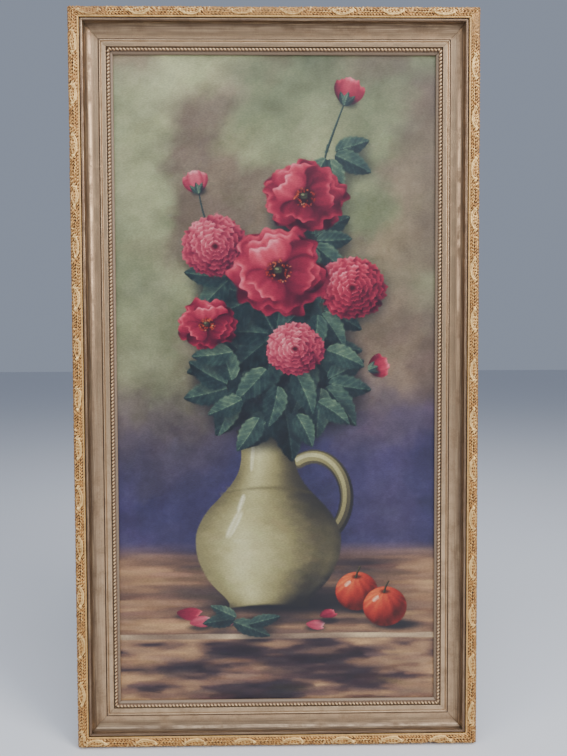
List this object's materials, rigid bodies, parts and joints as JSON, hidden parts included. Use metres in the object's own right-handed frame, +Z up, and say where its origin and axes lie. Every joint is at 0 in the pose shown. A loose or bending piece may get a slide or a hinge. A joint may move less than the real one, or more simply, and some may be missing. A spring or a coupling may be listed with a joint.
{
  "type": "framed oil painting",
  "caption": "Tall still-life painting on stretched canvas in a deep coved frame with a pressed leaf border and a beaded sight edge, hung flat against a wall.",
  "frame": {"origin": "middle of the flat back face of the top rail, where the frame bears on the wall", "axes": "+X to the right as the viewer in front sees it, +Y back towards the wall, +Z up"},
  "size_m": [0.556, 0.051, 1.01],
  "materials": {
    "bronzed_wood": "satin",
    "gilt_composition": "satin",
    "bead_composition": "satin",
    "painted_canvas": "satin",
    "stretcher_pine": "matte",
    "key_beech": "matte",
    "nail_steel": "satin",
    "eye_brass": "satin"
  },
  "bodies": {
    "root": {"rail_top": "bronzed_wood", "rail_bottom": "bronzed_wood", "stile_left": "bronzed_wood", "stile_right": "bronzed_wood", "ornament_top": "gilt_composition", "ornament_bottom": "gilt_composition", "ornament_left": "gilt_composition", "ornament_right": "gilt_composition", "bead_course_top": "bead_composition", "bead_course_bottom": "bead_composition", "bead_course_left": "bead_composition", "bead_course_right": "bead_composition", "canvas": "painted_canvas", "stretcher_top": "stretcher_pine", "stretcher_bottom": "stretcher_pine", "stretcher_left": "stretcher_pine", "stretcher_right": "stretcher_pine", "stretcher_key_1": "key_beech", "stretcher_key_2": "key_beech", "stretcher_key_3": "key_beech", "stretcher_key_4": "key_beech", "stretcher_key_5": "key_beech", "stretcher_key_6": "key_beech", "stretcher_key_7": "key_beech", "stretcher_key_8": "key_beech", "brad_1": "nail_steel", "brad_2": "nail_steel", "brad_3": "nail_steel", "brad_4": "nail_steel", "brad_5": "nail_steel", "brad_6": "nail_steel", "brad_7": "nail_steel", "brad_8": "nail_steel", "screw_eye_left": "eye_brass", "screw_eye_right": "eye_brass"}
  },
  "joints": []
}
